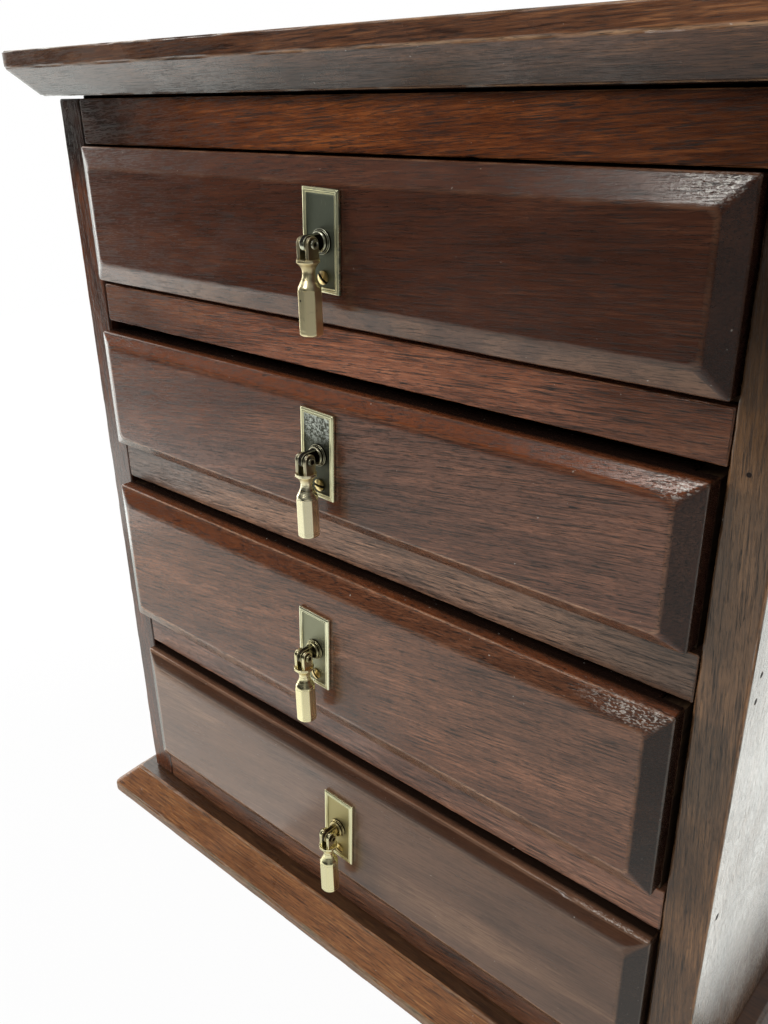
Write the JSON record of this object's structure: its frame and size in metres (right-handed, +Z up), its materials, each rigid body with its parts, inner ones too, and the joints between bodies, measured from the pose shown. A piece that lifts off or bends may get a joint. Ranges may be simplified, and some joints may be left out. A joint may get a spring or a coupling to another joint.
{
  "type": "tabletop chest of drawers",
  "caption": "Small mahogany tabletop chest with bevelled sliding drawers, chamfered top and base boards, and brass drop pulls that swing on their posts.",
  "frame": {"origin": "centre of the base board's underside, on the surface that the chest stands on", "axes": "+Z up, -Y out of the drawer fronts towards the user, +X to the right as seen from the front"},
  "size_m": [0.3674, 0.253, 0.4002],
  "materials": {
    "polished_mahogany": "french polished, worn",
    "carcass_mahogany": "french polished, dulled",
    "worn_mahogany": "polish worn through on the edges",
    "lining_wood": "planed, unfinished",
    "aged_brass": "patinated",
    "bright_brass": "handled, half bright"
  },
  "bodies": {
    "carcass": {"top_board": "carcass_mahogany", "base_board": "worn_mahogany", "left_side": "carcass_mahogany", "right_side": "carcass_mahogany", "back_panel": "lining_wood", "carcass_bottom": "carcass_mahogany", "top_rail": "carcass_mahogany", "rail_1": "carcass_mahogany", "rail_2": "carcass_mahogany", "rail_3": "carcass_mahogany", "left_runner_1": "lining_wood", "left_runner_2": "lining_wood", "left_runner_3": "lining_wood", "right_runner_1": "lining_wood", "right_runner_2": "lining_wood", "right_runner_3": "lining_wood", "left_top_cleat": "lining_wood", "right_top_cleat": "lining_wood"},
    "drawer_1": {"drawer_1_front": "polished_mahogany", "drawer_1_left_side": "lining_wood", "drawer_1_right_side": "lining_wood", "drawer_1_back": "lining_wood", "drawer_1_bottom": "lining_wood", "pull_1_backplate": "aged_brass", "pull_1_post": "aged_brass", "pull_1_pin": "aged_brass", "pull_1_screw": "bright_brass"},
    "drop_1": {"pull_1_drop": "bright_brass"},
    "drawer_2": {"drawer_2_front": "polished_mahogany", "drawer_2_left_side": "lining_wood", "drawer_2_right_side": "lining_wood", "drawer_2_back": "lining_wood", "drawer_2_bottom": "lining_wood", "pull_2_backplate": "aged_brass", "pull_2_post": "aged_brass", "pull_2_pin": "aged_brass", "pull_2_screw": "bright_brass"},
    "drop_2": {"pull_2_drop": "bright_brass"},
    "drawer_3": {"drawer_3_front": "polished_mahogany", "drawer_3_left_side": "lining_wood", "drawer_3_right_side": "lining_wood", "drawer_3_back": "lining_wood", "drawer_3_bottom": "lining_wood", "pull_3_backplate": "aged_brass", "pull_3_post": "aged_brass", "pull_3_pin": "aged_brass", "pull_3_screw": "bright_brass"},
    "drop_3": {"pull_3_drop": "bright_brass"},
    "drawer_4": {"drawer_4_front": "polished_mahogany", "drawer_4_left_side": "lining_wood", "drawer_4_right_side": "lining_wood", "drawer_4_back": "lining_wood", "drawer_4_bottom": "lining_wood", "pull_4_backplate": "aged_brass", "pull_4_post": "aged_brass", "pull_4_pin": "aged_brass", "pull_4_screw": "bright_brass"},
    "drop_4": {"pull_4_drop": "bright_brass"}
  },
  "joints": [
    {"name": "drawer_1_slide", "type": "slide", "parent": "carcass", "child": "drawer_1", "axis": [0, -1, 0], "range_m": [0, 0.16]},
    {"name": "pull_1_swing", "type": "hinge", "parent": "drawer_1", "child": "drop_1", "pos_m": [0.0026, -0.12025, 0.33525], "axis": [-1, 0, 0], "range_deg": [-4, 165]},
    {"name": "drawer_2_slide", "type": "slide", "parent": "carcass", "child": "drawer_2", "axis": [0, -1, 0], "range_m": [0, 0.16]},
    {"name": "pull_2_swing", "type": "hinge", "parent": "drawer_2", "child": "drop_2", "pos_m": [-0.0021, -0.12235, 0.25655], "axis": [-1, 0, 0], "range_deg": [-4, 165]},
    {"name": "drawer_3_slide", "type": "slide", "parent": "carcass", "child": "drawer_3", "axis": [0, -1, 0], "range_m": [0, 0.16]},
    {"name": "pull_3_swing", "type": "hinge", "parent": "drawer_3", "child": "drop_3", "pos_m": [-0.0075, -0.12445, 0.1688], "axis": [-1, 0, 0], "range_deg": [-4, 165]},
    {"name": "drawer_4_slide", "type": "slide", "parent": "carcass", "child": "drawer_4", "axis": [0, -1, 0], "range_m": [0, 0.16]},
    {"name": "pull_4_swing", "type": "hinge", "parent": "drawer_4", "child": "drop_4", "pos_m": [-0.0016, -0.12165, 0.07305], "axis": [-1, 0, 0], "range_deg": [-4, 165]}
  ]
}
